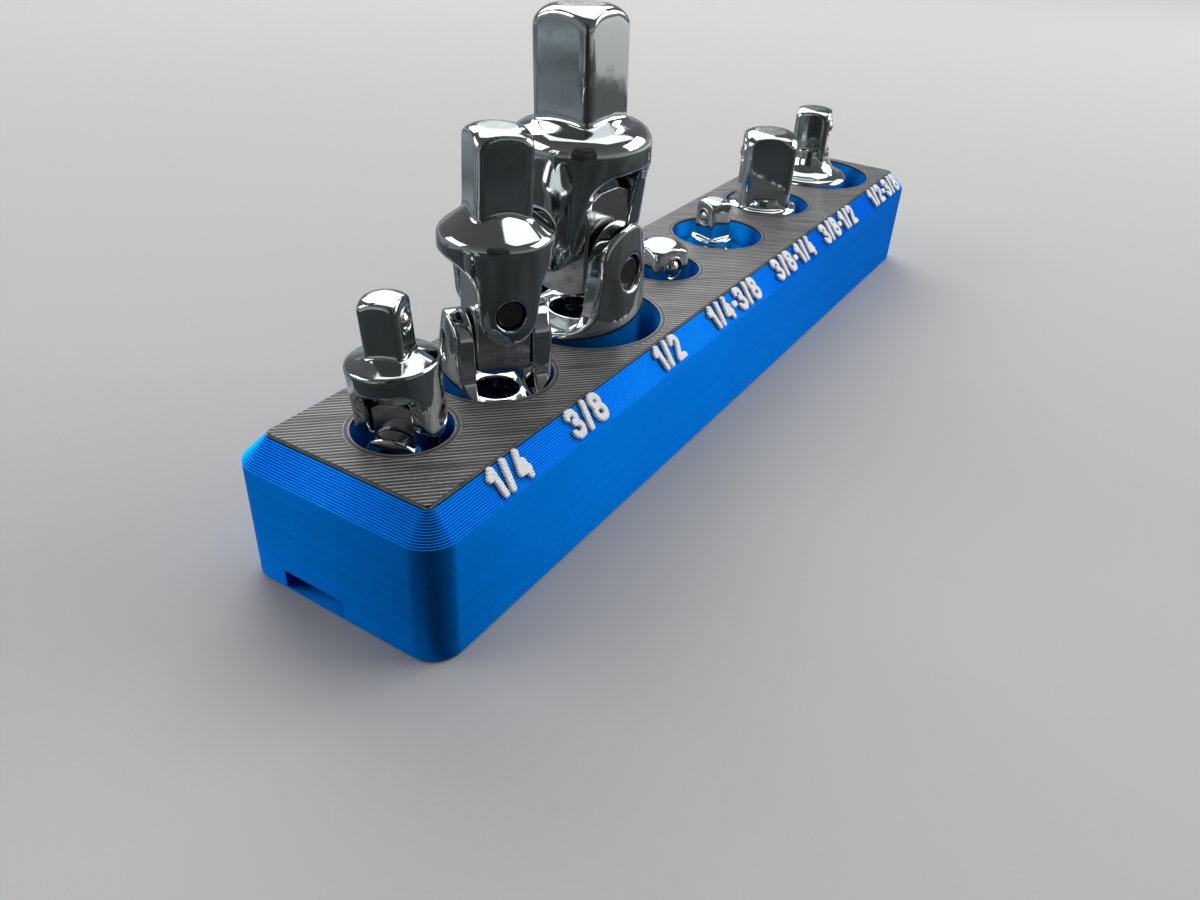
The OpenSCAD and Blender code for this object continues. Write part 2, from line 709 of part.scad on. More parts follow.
adapter_body(3);  // adapter_14_38_body
adapter_ball(3);  // adapter_14_38_ball
adapter_spring(3);  // adapter_14_38_spring
adapter_body(4);  // adapter_38_14_body
adapter_ball(4);  // adapter_38_14_ball
adapter_spring(4);  // adapter_38_14_spring
adapter_body(5);  // adapter_38_12_body
adapter_ball(5);  // adapter_38_12_ball
adapter_spring(5);  // adapter_38_12_spring
adapter_body(6);  // adapter_12_38_body
adapter_ball(6);  // adapter_12_38_ball
adapter_spring(6);  // adapter_12_38_spring
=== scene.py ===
"""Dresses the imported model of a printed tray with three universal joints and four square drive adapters.

The tray, its deck and the rims round the detent balls are modelled here. The labels, the forks and the
adapters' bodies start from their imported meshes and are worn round. The other steel pieces keep theirs.
"""

from __future__ import annotations

import json
import logging
import math
from dataclasses import dataclass, field
from enum import Enum
from typing import Callable, Iterable, Sequence, Union

import bmesh
import bpy
from mathutils import Matrix, Vector

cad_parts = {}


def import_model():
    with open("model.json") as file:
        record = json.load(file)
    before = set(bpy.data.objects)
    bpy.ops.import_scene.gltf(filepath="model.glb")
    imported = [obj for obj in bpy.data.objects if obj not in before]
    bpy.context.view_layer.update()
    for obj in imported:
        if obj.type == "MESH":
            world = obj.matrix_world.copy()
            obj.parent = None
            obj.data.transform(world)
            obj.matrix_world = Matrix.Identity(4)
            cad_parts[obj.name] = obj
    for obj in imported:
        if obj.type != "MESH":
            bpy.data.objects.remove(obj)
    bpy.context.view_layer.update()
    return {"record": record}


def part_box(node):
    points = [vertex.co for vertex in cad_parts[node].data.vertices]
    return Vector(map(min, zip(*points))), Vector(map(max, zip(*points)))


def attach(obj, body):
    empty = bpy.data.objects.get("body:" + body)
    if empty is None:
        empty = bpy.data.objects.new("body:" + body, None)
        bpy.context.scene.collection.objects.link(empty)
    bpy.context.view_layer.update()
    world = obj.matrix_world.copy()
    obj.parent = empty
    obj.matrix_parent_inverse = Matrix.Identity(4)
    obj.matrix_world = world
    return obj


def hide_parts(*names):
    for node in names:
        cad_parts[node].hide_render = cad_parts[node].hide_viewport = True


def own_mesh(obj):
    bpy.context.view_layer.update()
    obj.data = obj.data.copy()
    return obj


log = logging.getLogger("tool_tray")

MM = 0.001
LAYER = 0.3 * MM
Number = Union[int, float]
Colour = tuple[float, float, float]


# ---------------------------------------------------------------- shader maths


class Signal:
    """One output of a material's nodes, on which Python's operators add Math nodes."""

    def __init__(self, sheet: "NodeSheet", socket: bpy.types.NodeSocket) -> None:
        """Wraps a socket.

        Args:
            sheet: the node sheet that the socket is on.
            socket: the output socket.
        """
        self.sheet = sheet
        self.socket = socket

    def _math(self, operation: str, *values: Union["Signal", Number]) -> "Signal":
        """Adds one Math node whose inputs are the values in order."""
        return self.sheet.add("ShaderNodeMath", {"operation": operation}, dict(enumerate(values)))

    def __add__(self, other: Union["Signal", Number]) -> "Signal":
        """This plus other."""
        return self._math("ADD", self, other)

    __radd__ = __add__

    def __sub__(self, other: Union["Signal", Number]) -> "Signal":
        """This less other."""
        return self._math("SUBTRACT", self, other)

    def __rsub__(self, other: Union["Signal", Number]) -> "Signal":
        """Other less this."""
        return self._math("SUBTRACT", other, self)

    def __mul__(self, other: Union["Signal", Number]) -> "Signal":
        """This times other."""
        return self._math("MULTIPLY", self, other)

    __rmul__ = __mul__

    def __truediv__(self, other: Union["Signal", Number]) -> "Signal":
        """This over other."""
        return self._math("DIVIDE", self, other)

    def __pow__(self, power: Number) -> "Signal":
        """This to a power."""
        return self._math("POWER", self, power)

    def __abs__(self) -> "Signal":
        """The size of this, without its sign."""
        return self._math("ABSOLUTE", self)

    def fraction(self) -> "Signal":
        """What is left of this over a whole number."""
        return self._math("FRACT", self)

    def whole(self) -> "Signal":
        """The whole number below this."""
        return self._math("FLOOR", self)

    def least(self, other: Union["Signal", Number]) -> "Signal":
        """The smaller of this and other."""
        return self._math("MINIMUM", self, other)

    def most(self, other: Union["Signal", Number]) -> "Signal":
        """The larger of this and other."""
        return self._math("MAXIMUM", self, other)

    def clear(self, low: Number, high: Number) -> "Signal":
        """A smooth step that is 0 below low and 1 above high, or the reverse where low is the larger.

        Args:
            low: where the step starts.
            high: where it ends.

        Returns:
            The step, from 0 to 1.
        """
        settings = {"interpolation_type": "SMOOTHSTEP", "clamp": True}
        inputs = {"Value": self, "From Min": low, "From Max": high}
        if low >= high:
            inputs = {"Value": self, "From Min": high, "From Max": low, "To Min": 1.0, "To Max": 0.0}
        return self.sheet.add("ShaderNodeMapRange", settings, inputs)


class NodeSheet:
    """The node tree of one material, with the surface shader already on it."""

    def __init__(self, name: str) -> None:
        """Makes the material.

        Args:
            name: the material's name.
        """
        self.material = bpy.data.materials.new(name)
        self.material.use_nodes = True
        self.tree = self.material.node_tree
        self.surface = next(n for n in self.tree.nodes if n.type == "BSDF_PRINCIPLED")

    def add(
        self,
        kind: str,
        settings: dict | None = None,
        inputs: dict | None = None,
        out: int | str = 0,
    ) -> Signal:
        """Adds one node.

        Args:
            kind: the node's type.
            settings: its properties, which are set first.
            inputs: its sockets by name or number, each with a value or a Signal.
            out: which output comes back.

        Returns:
            The output asked for.
        """
        node = self.tree.nodes.new(kind)
        for key, value in (settings or {}).items():
            setattr(node, key, value)
        for key, value in (inputs or {}).items():
            self._feed(node.inputs[key], value)
        return Signal(self, node.outputs[out])

    def _feed(self, socket: bpy.types.NodeSocket, value: object) -> None:
        """Links a Signal to a socket, or sets the socket's own value."""
        if isinstance(value, Signal):
            self.tree.links.new(value.socket, socket)
        elif isinstance(value, (tuple, list, Vector)) and socket.type == "RGBA":
            socket.default_value = (*value[:3], 1.0)
        else:
            socket.default_value = value

    def place(self) -> Signal:
        """The point on the object, in metres in the part's own frame."""
        return self.add("ShaderNodeTexCoord", out="Object")

    def in_frame(self, turn: Matrix, origin: Vector) -> Signal:
        """The point on the object as seen from a frame of the piece's own.

        Args:
            turn: the frame's axes as the columns of a 3 by 3 matrix.
            origin: the frame's origin.

        Returns:
            The point in that frame, in metres.
        """
        back = turn.transposed()
        return self.add(
            "ShaderNodeMapping",
            {"vector_type": "POINT"},
            {"Vector": self.place(), "Location": -(back @ origin), "Rotation": back.to_euler("XYZ")},
        )

    def parts_of(self, vector: Signal) -> tuple[Signal, Signal, Signal]:
        """The three parts of a vector."""
        node = self.tree.nodes.new("ShaderNodeSeparateXYZ")
        self.tree.links.new(vector.socket, node.inputs[0])
        x, y, z = (Signal(self, part) for part in node.outputs)
        return x, y, z

    def vector(self, x: object, y: object, z: object) -> Signal:
        """A vector of three parts, each a value or a Signal."""
        return self.add("ShaderNodeCombineXYZ", inputs={0: x, 1: y, 2: z})

    def stretched(self, vector: Signal, scale: Sequence[float]) -> Signal:
        """The vector with each part scaled by its own number."""
        return self.add("ShaderNodeVectorMath", {"operation": "MULTIPLY"}, {0: vector, 1: Vector(scale)})

    def noise(self, vector: Signal, size: float, detail: float = 3.0, roughness: float = 0.55) -> Signal:
        """Soft noise.

        Args:
            vector: where it is read.
            size: the size of one blotch, in metres.
            detail: how many finer layers it has.
            roughness: how strong these are.

        Returns:
            The noise, from 0 to 1.
        """
        return self.add(
            "ShaderNodeTexNoise",
            inputs={"Vector": vector, "Scale": 1.0 / size, "Detail": detail, "Roughness": roughness},
        )

    def mix(self, share: Union[Signal, Number], first: object, second: object) -> Signal:
        """A colour between two.

        Args:
            share: how much of the second it has.
            first: the first colour, or a Signal.
            second: the second.

        Returns:
            The colour.
        """
        return self.add("ShaderNodeMix", {"data_type": "RGBA"}, {0: share, 6: first, 7: second}, out=2)

    def relief(
        self,
        height: Signal,
        depth: float,
        strength: float = 1.0,
        normal: Signal | None = None,
    ) -> Signal:
        """A surface normal from a height.

        Args:
            height: the height, from 0 to 1.
            depth: what 1 is in metres.
            strength: how much of it is used.
            normal: a normal that it is laid over.

        Returns:
            The normal.
        """
        inputs = {"Height": height, "Distance": depth, "Strength": strength}
        if normal is not None:
            inputs["Normal"] = normal
        return self.add("ShaderNodeBump", inputs=inputs)

    def soft_edges(self, radius: float) -> Signal:
        """A normal that rounds each edge by a radius in metres."""
        return self.add("ShaderNodeBevel", {"samples": 6}, {"Radius": radius})

    def set(self, **values: object) -> bpy.types.Material:
        """Sets the surface's sockets; a name's underscores stand for spaces.

        Args:
            values: each socket's value or Signal.

        Returns:
            The material.
        """
        for key, value in values.items():
            self._feed(self.surface.inputs[key.replace("_", " ")], value)
        return self.material


# ---------------------------------------------------------------- finishes


class Steel(Enum):
    """The kinds of bare or plated metal on the tools."""

    BLOCK = "block"
    PIN = "pin"
    BALL = "ball"
    WIRE = "wire"
    MAGNET = "magnet"


@dataclass(frozen=True)
class PrintedBlue:
    """The tray's saturated blue plastic, laid down in level layers, with the silky gloss of its pigment."""

    half_length: float
    half_width: float
    corner: float
    side_top: float
    colour: Colour = (0.0003, 0.24, 0.86)
    # the dark end of the tone: painted shade in the layer creases, also used for the streaks and the drift
    shade_and_streak_colour: Colour = (0.0002, 0.03, 0.2)
    # painted highlight on the lip of each layer
    painted_highlight: Colour = (0.002, 0.4, 1.0)
    sheen: Colour = (0.02, 0.5, 1.0)
    roughness: float = 0.46

    def material(self) -> bpy.types.Material:
        """Fine lines of painted shade up the walls; on the slope each layer's lip carries a painted highlight
        and its root painted shade.
        """
        sheet = NodeSheet("printed_blue")
        point = sheet.place()
        x, y, z = sheet.parts_of(point)
        _, _, facing_up = sheet.parts_of(sheet.add("ShaderNodeNewGeometry", out="Normal"))
        tread = facing_up.clear(0.6, 0.8)
        aside = (abs(x) - (self.half_length - self.corner)).most(0.0)
        beside = (abs(y) - (self.half_width - self.corner)).most(0.0)
        inset = self.corner - (aside**2 + beside**2) ** 0.5
        along_tread = ((inset + 0.004 * MM) / LAYER).fraction()
        up_layer = ((z + 0.004 * MM) / LAYER).fraction()
        on_slope = z.clear(self.side_top - 0.02 * MM, self.side_top)
        # root marks the painted shade in the inner corner of each layer on the slope; lip marks the edge that
        # gets a painted highlight
        root = tread * along_tread.clear(0.7, 0.97) + (1.0 - tread) * up_layer.clear(0.3, 0.03)
        lip = tread * along_tread.clear(0.45, 0.1) + (1.0 - tread) * up_layer.clear(0.6, 0.95)
        ripple = sheet.noise(sheet.stretched(point, (0.15, 0.15, 1.0)), 0.8 * MM, 2.0)
        wall = abs(((z / LAYER) + 0.15 * ripple).fraction() * 2.0 - 1.0)
        each = sheet.noise(sheet.vector(0.0, 0.0, (z / LAYER).whole() * 0.37), 1.0, 0.0)
        bold = each.clear(0.56, 0.7)
        streak = sheet.noise(sheet.stretched(point, (0.02, 0.02, 1.0)), 0.7 * MM, 4.0, 0.7)
        drift = sheet.noise(point, 14 * MM, 3.0)
        line = wall.clear(0.5, 1.0) * (0.3 + 0.7 * bold)
        # dark mixes painted crease shade (layer roots on the slope, layer lines on the walls) with the
        # streaks
        dark = on_slope * root + (1.0 - on_slope) * (0.45 * line + 1.3 * (streak - 0.5))
        tone = sheet.mix((dark + 0.3 * (drift - 0.5)).clear(0.0, 1.0), self.colour, self.shade_and_streak_colour)
        # painted highlight: the lip of each layer on the slope is mixed towards the bright blue
        colour = sheet.mix(on_slope * lip * 0.7, tone, self.painted_highlight)
        fine = sheet.noise(sheet.stretched(point, (1.0, 1.0, 6.0)), 0.35 * MM, 2.0)
        height = on_slope * (1.0 - root * 0.5 + lip * -0.6) + (1.0 - on_slope) * (1.0 - line) + 0.08 * fine
        return sheet.set(
            Base_Color=colour,
            Metallic=0.9,
            Roughness=self.roughness + 0.1 * line + 0.08 * (drift - 0.5),
            Specular_IOR_Level=0.3,
            Specular_Tint=self.sheen,
            Anisotropic=0.85,
            Anisotropic_Rotation=0.25,
            Normal=sheet.relief(height, 0.04 * MM, 0.9),
        )


@dataclass(frozen=True)
class PrintedDeck:
    """The near-black top layer: slanting print lines inside rings that follow each edge.

    The ring is one line's width, the slant is in degrees from the tray's length, and the patch is the
    middle of the scuffed corner.
    """

    pockets: tuple[tuple[float, float, float], ...]
    half_length: float
    half_width: float
    colour: Colour = (0.018, 0.018, 0.019)
    # pale is the colour of the painted sheen on the shining lines, also mixed thinly onto every line's crest
    pale: Colour = (0.4, 0.405, 0.39)
    pitch: float = 0.84 * MM
    ring: float = 0.42 * MM
    slant: float = -45.0
    patch: tuple[float, float] = (-96.5 * MM, -13.5 * MM)

    def material(self) -> bpy.types.Material:
        """Pairs of lines, one with a pale painted sheen and one dark, run across the row from its back inside
        the rings; each line's crest is lightened as a painted highlight.
        """
        sheet = NodeSheet("printed_deck")
        point = sheet.place()
        x, y, z = sheet.parts_of(point)
        wobble = sheet.noise(point, 9 * MM, 2.0)
        turn = math.radians(self.slant)
        across = x * -math.sin(turn) + y * math.cos(turn)
        rim = (self.half_length - abs(x)).least(self.half_width - abs(y))
        edge = rim + self.ring * 2.75
        for px, py, radius in self.pockets:
            edge = edge.least(((x - px) ** 2 + (y - py) ** 2) ** 0.5 - radius)
        inside_rings = edge.clear(self.ring * 2.95, self.ring * 3.0)
        pairs = (across / self.pitch + 0.12 * wobble).fraction()
        rings = (edge / (self.ring * 2.0)).fraction()
        phase = pairs * inside_rings + rings * (1.0 - inside_rings)
        bead = 1.0 - (abs((phase * 2.0).fraction() * 2.0 - 1.0)) ** 2.5
        # lit marks every second line, which gets a painted sheen in its colour and a lower roughness
        lit = phase.clear(0.56, 0.44) * (0.55 + 0.45 * inside_rings)
        patch = ((x - self.patch[0]) ** 2 + (y - self.patch[1]) ** 2) ** 0.5
        mottle = sheet.noise(point, 0.7 * MM, 4.0, 0.7)
        scuffed = patch.clear(7.0 * MM, 2.5 * MM) * mottle.clear(0.42, 0.55)
        run = sheet.noise(sheet.vector((across / self.pitch).whole() * 0.61, x * 60.0, 0.0), 1.0, 2.0)
        scars = 0.45 * scuffed * (mottle.clear(0.5, 0.62) - 0.5)
        # tone: painted highlight on each line's crest, painted sheen on every second line, and the scars of
        # the scuffed patch
        tone = (bead * (0.12 + 0.75 * lit * run.clear(0.15, 0.6)) + scars).clear(0.0, 1.2)
        height = bead * (0.75 + 0.25 * lit) * (1.0 - 0.5 * scuffed) + 0.4 * scuffed * mottle + 0.1 * run
        return sheet.set(
            Base_Color=sheet.mix(tone, self.colour, self.pale),
            Roughness=0.3 + 0.25 * (1.0 - lit) + 0.15 * scuffed,
            Specular_IOR_Level=0.6,
            Normal=sheet.relief(height, 0.07 * MM, 0.9),
        )


@dataclass(frozen=True)
class PrintedWhite:
    """The labels' white plastic, with a ridge for each layer."""

    colour: Colour = (0.9, 0.91, 0.93)
    shade: Colour = (0.55, 0.63, 0.74)

    def material(self) -> bpy.types.Material:
        """Painted shade in a line where each layer ends, and darker in little pits."""
        sheet = NodeSheet("printed_white")
        point = sheet.place()
        _, _, z = sheet.parts_of(point)
        bead = abs((z / LAYER).fraction() * 2.0 - 1.0)
        crease = bead.clear(0.5, 1.0)
        pits = sheet.noise(point, 0.5 * MM, 3.0, 0.65)
        # painted shade along each layer's crease, and darker where the pits noise is high
        colour = sheet.mix((0.5 * crease + 0.6 * (pits - 0.45)).clear(0.0, 1.0), self.colour, self.shade)
        return sheet.set(
            Base_Color=colour,
            Roughness=0.5 + 0.2 * crease,
            Normal=sheet.relief((1.0 - crease) + 0.5 * pits, 0.06 * MM, 0.8, sheet.soft_edges(0.12 * MM)),
        )


@dataclass(frozen=True)
class PolishedChrome:
    """Bright plating over ground steel; each tool's own axis turns the marks on it."""

    name: str
    turn: Matrix
    top: Vector
    flat: float
    colour: Colour = (0.545, 0.58, 0.58)
    dark: Colour = (0.2, 0.21, 0.21)

    def material(self) -> bpy.types.Material:
        """Faint swirls and smudges, drag marks on the square, and a scuffed end face."""
        sheet = NodeSheet("chrome_" + self.name)
        point = sheet.in_frame(self.turn, self.top)
        x, y, z = sheet.parts_of(point)
        swell = sheet.noise(point, 6 * MM, 2.0)
        smudge = sheet.noise(point, 2.6 * MM, 4.0, 0.6)
        drag = sheet.noise(sheet.stretched(point, (1.0, 1.0, 0.06)), 0.22 * MM, 3.0, 0.6)
        side = (x**2 + y**2) ** 0.5
        on_square = side.clear(self.flat * 0.75, self.flat * 0.68)
        end = abs(z).clear(0.12 * MM, 0.02 * MM)
        disc = end * side.clear(self.flat * 0.36, self.flat * 0.3)
        cross = sheet.noise(sheet.stretched(point, (0.15, 1.0, 1.0)), 0.18 * MM, 2.0, 0.6)
        marks = on_square * (1.0 - end) * drag.clear(0.55, 0.75)
        worn = disc * (0.4 + 0.6 * cross)
        rough = 0.06 + 0.09 * smudge.clear(0.5, 0.75) + 0.12 * marks + 0.3 * worn
        tone = (0.25 * smudge.clear(0.55, 0.8) + 0.25 * marks + 1.2 * worn).clear(0.0, 1.3)
        height = 0.75 * swell + 0.05 * smudge + 0.03 * marks * drag + 0.08 * worn * cross
        return sheet.set(
            Base_Color=sheet.mix(tone, self.colour, self.dark),
            Metallic=1.0,
            Roughness=rough,
            Normal=sheet.relief(height, 0.04 * MM, 0.4),
        )


@dataclass(frozen=True)
class PlainSteel:
    """Ground, polished or nickel-plated steel of the small pieces."""

    kind: Steel
    colour: Colour
    roughness: float
    grain: tuple[float, float, float] = (1.0, 1.0, 1.0)
    edge: float = 0.15 * MM

    def material(self) -> bpy.types.Material:
        """Fine grain along one way, with darker film in patches."""
        sheet = NodeSheet("steel_" + self.kind.value)
        point = sheet.place()
        grain = sheet.noise(sheet.stretched(point, self.grain), 0.3 * MM, 3.0)
        film = sheet.noise(point, 1.8 * MM, 3.0)
        dark = tuple(0.62 * part for part in self.colour)
        return sheet.set(
            Base_Color=sheet.mix(film.clear(0.4, 0.8), self.colour, dark),
            Metallic=1.0,
            Roughness=self.roughness + 0.12 * film.clear(0.45, 0.75) + 0.08 * (grain - 0.5),
            Normal=sheet.relief(grain, 0.01 * MM, 0.6, sheet.soft_edges(self.edge)),
        )


@dataclass(frozen=True)
class PaleTable:
    """The plain pale surface under the part."""

    colour: Colour = (0.47, 0.47, 0.465)

    def material(self) -> bpy.types.Material:
        """A fine even grain."""
        sheet = NodeSheet("pale_table")
        grain = sheet.noise(sheet.place(), 0.8 * MM, 2.0)
        tone = sheet.mix(grain, self.colour, tuple(0.96 * part for part in self.colour))
        return sheet.set(Base_Color=tone, Roughness=0.9, Specular_IOR_Level=0.0)


# ---------------------------------------------------------------- modelling by hand


class Bench:
    """The few hand moves that every piece is made with."""

    @staticmethod
    def clear() -> None:
        """Nothing is selected and no object is in edit mode."""
        if bpy.context.object and bpy.context.object.mode != "OBJECT":
            bpy.ops.object.mode_set(mode="OBJECT")
        for thing in bpy.context.selected_objects:
            thing.select_set(False)

    @staticmethod
    def take(thing: bpy.types.Object) -> bpy.types.Object:
        """Selects one object alone and makes it the active one."""
        Bench.clear()
        thing.hide_set(False)
        thing.select_set(True)
        bpy.context.view_layer.objects.active = thing
        return thing

    @staticmethod
    def edit(thing: bpy.types.Object) -> None:
        """Opens one object's mesh in edit mode."""
        Bench.take(thing)
        bpy.ops.object.mode_set(mode="EDIT")

    @staticmethod
    def pick(thing: bpy.types.Object, sort: str, test: Callable[[object], bool]) -> None:
        """Selects, in edit mode, the vertices, edges or faces that pass a test.

        Args:
            thing: the object in edit mode.
            sort: "verts", "edges" or "faces".
            test: says whether one of them is taken.
        """
        bpy.ops.mesh.select_mode(type={"verts": "VERT", "edges": "EDGE", "faces": "FACE"}[sort])
        bpy.ops.mesh.select_all(action="DESELECT")
        mesh = bmesh.from_edit_mesh(thing.data)
        for part in getattr(mesh, sort):
            if test(part):
                part.select_set(True)
        mesh.select_flush_mode()
        bmesh.update_edit_mesh(thing.data)

    @staticmethod
    def done(thing: bpy.types.Object, name: str, angle: float = 30.0) -> bpy.types.Object:
        """Leaves edit mode, puts the object's place into its mesh, points its faces outwards and shades it.

        Args:
            thing: the object.
            name: its name from here on.
            angle: edges sharper than this, in degrees, stay sharp.

        Returns:
            The object.
        """
        Bench.take(thing)
        bpy.ops.object.transform_apply(location=True, rotation=True, scale=True)
        bpy.ops.object.mode_set(mode="EDIT")
        bpy.ops.mesh.select_all(action="SELECT")
        bpy.ops.mesh.normals_make_consistent(inside=False)
        bpy.ops.object.mode_set(mode="OBJECT")
        bpy.ops.object.shade_smooth_by_angle(angle=math.radians(angle))
        thing.name = name
        thing.data.name = name
        Bench.clear()
        return thing

    @staticmethod
    def modify(thing: bpy.types.Object, kind: str, **settings: object) -> None:
        """Adds one modifier and applies it.

        Args:
            thing: the object.
            kind: the modifier's type.
            settings: its properties.
        """
        Bench.take(thing)
        modifier = thing.modifiers.new(kind.lower(), kind)
        for key, value in settings.items():
            setattr(modifier, key, value)
        bpy.ops.object.modifier_apply(modifier=modifier.name)

    @staticmethod
    def cut(thing: bpy.types.Object, cutters: Iterable[bpy.types.Object]) -> None:
        """Takes the cutters' solids out of an object and removes them."""
        for cutter in list(cutters):
            Bench.modify(thing, "BOOLEAN", operation="DIFFERENCE", solver="EXACT", object=cutter)
            bpy.data.objects.remove(cutter)

    @staticmethod
    def lift_copy(node: str, name: str) -> bpy.types.Object:
        """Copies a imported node's mesh into a piece of its own, with its loose triangles joined.

        Args:
            node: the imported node's name.
            name: the new piece's name.

        Returns:
            The piece, at the origin.
        """
        mesh = bpy.data.objects[node].data.copy()
        piece = bpy.data.objects.new(name, mesh)
        bpy.context.scene.collection.objects.link(piece)
        mesh.materials.clear()
        Bench.edit(piece)
        bpy.ops.mesh.select_all(action="SELECT")
        bpy.ops.mesh.customdata_custom_splitnormals_clear()
        bpy.ops.mesh.remove_doubles(threshold=0.002 * MM)
        bpy.ops.mesh.dissolve_limited(angle_limit=math.radians(0.6))
        bpy.ops.object.mode_set(mode="OBJECT")
        return piece


def wear(piece: bpy.types.Object, material: bpy.types.Material) -> None:
    """Gives a piece one material all over."""
    piece.data.materials.clear()
    piece.data.materials.append(material)


# ---------------------------------------------------------------- sub-assemblies


@dataclass
class Tray:
    """The printed tray: a rounded block with a stepped slope round its top, seven pockets and a slot.

    Places and radii are in millimetres, and so is the slot: its length, its middle's y, its width, its
    floor's height and its own height. The labels are remeshed at the voxel size. They then swell by the
    bead, more or less by the ridge over each layer and by the blots along it, in millimetres.
    """

    length: float = 215 * MM
    width: float = 42 * MM
    side_top: float = 21.9 * MM
    deck_z: float = 25.8 * MM
    corner: float = 5.5 * MM
    foot: float = 0.4 * MM
    floor_z: float = 8.4 * MM
    row_y: float = 0.8 * MM
    places: tuple[float, ...] = (-89.1, -66.1, -36.3, -5.0, 22.1, 51.8, 85.7)
    radii: tuple[float, ...] = (8.2, 10.8, 15.0, 8.2, 10.8, 10.8, 15.0)
    slot: tuple[float, float, float, float, float] = (195.0, 4.9, 12.9, 0.8, 3.3)
    overrun: float = 1 * MM
    voxel: float = 0.11 * MM
    bead: float = 0.09
    ridge: float = 0.045
    blots: float = 0.035

    def pockets(self) -> tuple[tuple[float, float, float], ...]:
        """Each pocket's centre and radius, in metres."""
        return tuple((p * MM, self.row_y, r * MM) for p, r in zip(self.places, self.radii))

    def _outline(self, inset: float = 0.0, height: float = 0.0) -> bpy.types.Object:
        """A rounded rectangle: a circle whose quarters are moved apart.

        Args:
            inset: how far it lies inside the tray's own outline.
            height: how high it lies.

        Returns:
            The flat outline.
        """
        count = 48
        bpy.ops.mesh.primitive_circle_add(
            vertices=count,
            radius=(self.corner - inset) / math.cos(math.pi / count),
            fill_type="NGON",
            location=(0, 0, height),
            rotation=(0, 0, math.pi / count),
        )
        outline = bpy.context.object
        bpy.ops.object.transform_apply(location=True, rotation=True)
        Bench.edit(outline)
        for axis, reach in ((0, self.length / 2 - self.corner), (1, self.width / 2 - self.corner)):
            for sign in (-1, 1):
                Bench.pick(outline, "verts", lambda v, a=axis, s=sign: v.co[a] * s > 0)
                shift = [0.0, 0.0, 0.0]
                shift[axis] = sign * reach
                bpy.ops.transform.translate(value=shift)
        return outline

    def _raise(self, height: float) -> None:
        """Pulls the selected face up by a height."""
        bpy.ops.mesh.extrude_region_move(TRANSFORM_OT_translate={"value": (0, 0, height)})

    def _drills(self) -> list[bpy.types.Object]:
        """A cutter for each pocket."""
        drills = []
        for x, y, radius in self.pockets():
            bpy.ops.mesh.primitive_cylinder_add(
                vertices=96, radius=radius, depth=20 * MM, location=(x, y, self.floor_z + 10 * MM)
            )
            drills.append(bpy.context.object)
        return drills

    def shell(self) -> bpy.types.Object:
        """Pulls the outline up to the slope, then layer by layer to the deck, and cuts the holes.

        Returns:
            The tray.
        """
        tray = self._outline()
        Bench.pick(tray, "faces", lambda f: True)
        self._raise(self.side_top)
        for _ in range(round((self.deck_z - self.side_top) / LAYER)):
            bpy.ops.mesh.inset(thickness=LAYER, depth=0)
            self._raise(LAYER)
        Bench.pick(tray, "edges", lambda e: all(v.co.z < 1e-6 for v in e.verts))
        bpy.ops.mesh.bevel(offset=self.foot, segments=1, affect="EDGES")
        Bench.done(tray, "tray_shell")
        cutters = self._drills()
        length, y, width, low, high = (v * MM for v in self.slot)
        x = length / 2 - self.length / 2 - self.overrun
        bpy.ops.mesh.primitive_cube_add(size=1, location=(x, y, low + high / 2))
        slot = bpy.context.object
        slot.scale = (length + 2 * self.overrun, width, high)
        cutters.append(slot)
        Bench.cut(tray, cutters)
        return Bench.done(tray, "tray_shell")

    def deck(self) -> bpy.types.Object:
        """Two black layers on the shell, each a step in from the one below, cut round the pockets.

        Returns:
            The deck.
        """
        first = self.deck_z - self.side_top + LAYER
        deck = self._outline(first, self.deck_z)
        Bench.pick(deck, "faces", lambda f: True)
        self._raise(LAYER)
        bpy.ops.mesh.inset(thickness=LAYER, depth=0)
        self._raise(LAYER)
        Bench.done(deck, "deck_plate")
        Bench.cut(deck, self._drills())
        return Bench.done(deck, "deck_plate")

    def beads(self, number: int) -> bpy.types.Object:
        """One label, swollen into soft beads that are pinched at each layer.

        Args:
            number: which label, from 1.

        Returns:
            The label.
        """
        label = Bench.lift_copy(f"label_{number}", f"label_bead_{number}")
        Bench.modify(label, "REMESH", mode="VOXEL", voxel_size=self.voxel)
        Bench.modify(label, "SMOOTH", factor=0.5, iterations=5)
        mesh = bmesh.new()
        mesh.from_mesh(label.data)
        mesh.normal_update()
        swell = []
        for vertex in mesh.verts:
            x, _, z = vertex.co
            pinch = math.cos(math.tau * z / LAYER)
            blot = math.sin(x * 2900 + math.floor(z / LAYER) * 2.4) * math.sin(x * 1100 + z * 3100)
            swell.append(vertex.normal * (self.bead + self.ridge * pinch + self.blots * blot) * MM)
        for vertex, shift in zip(mesh.verts, swell):
            vertex.co += shift
        mesh.to_mesh(label.data)
        mesh.free()
        return Bench.done(label, f"label_bead_{number}", 75.0)

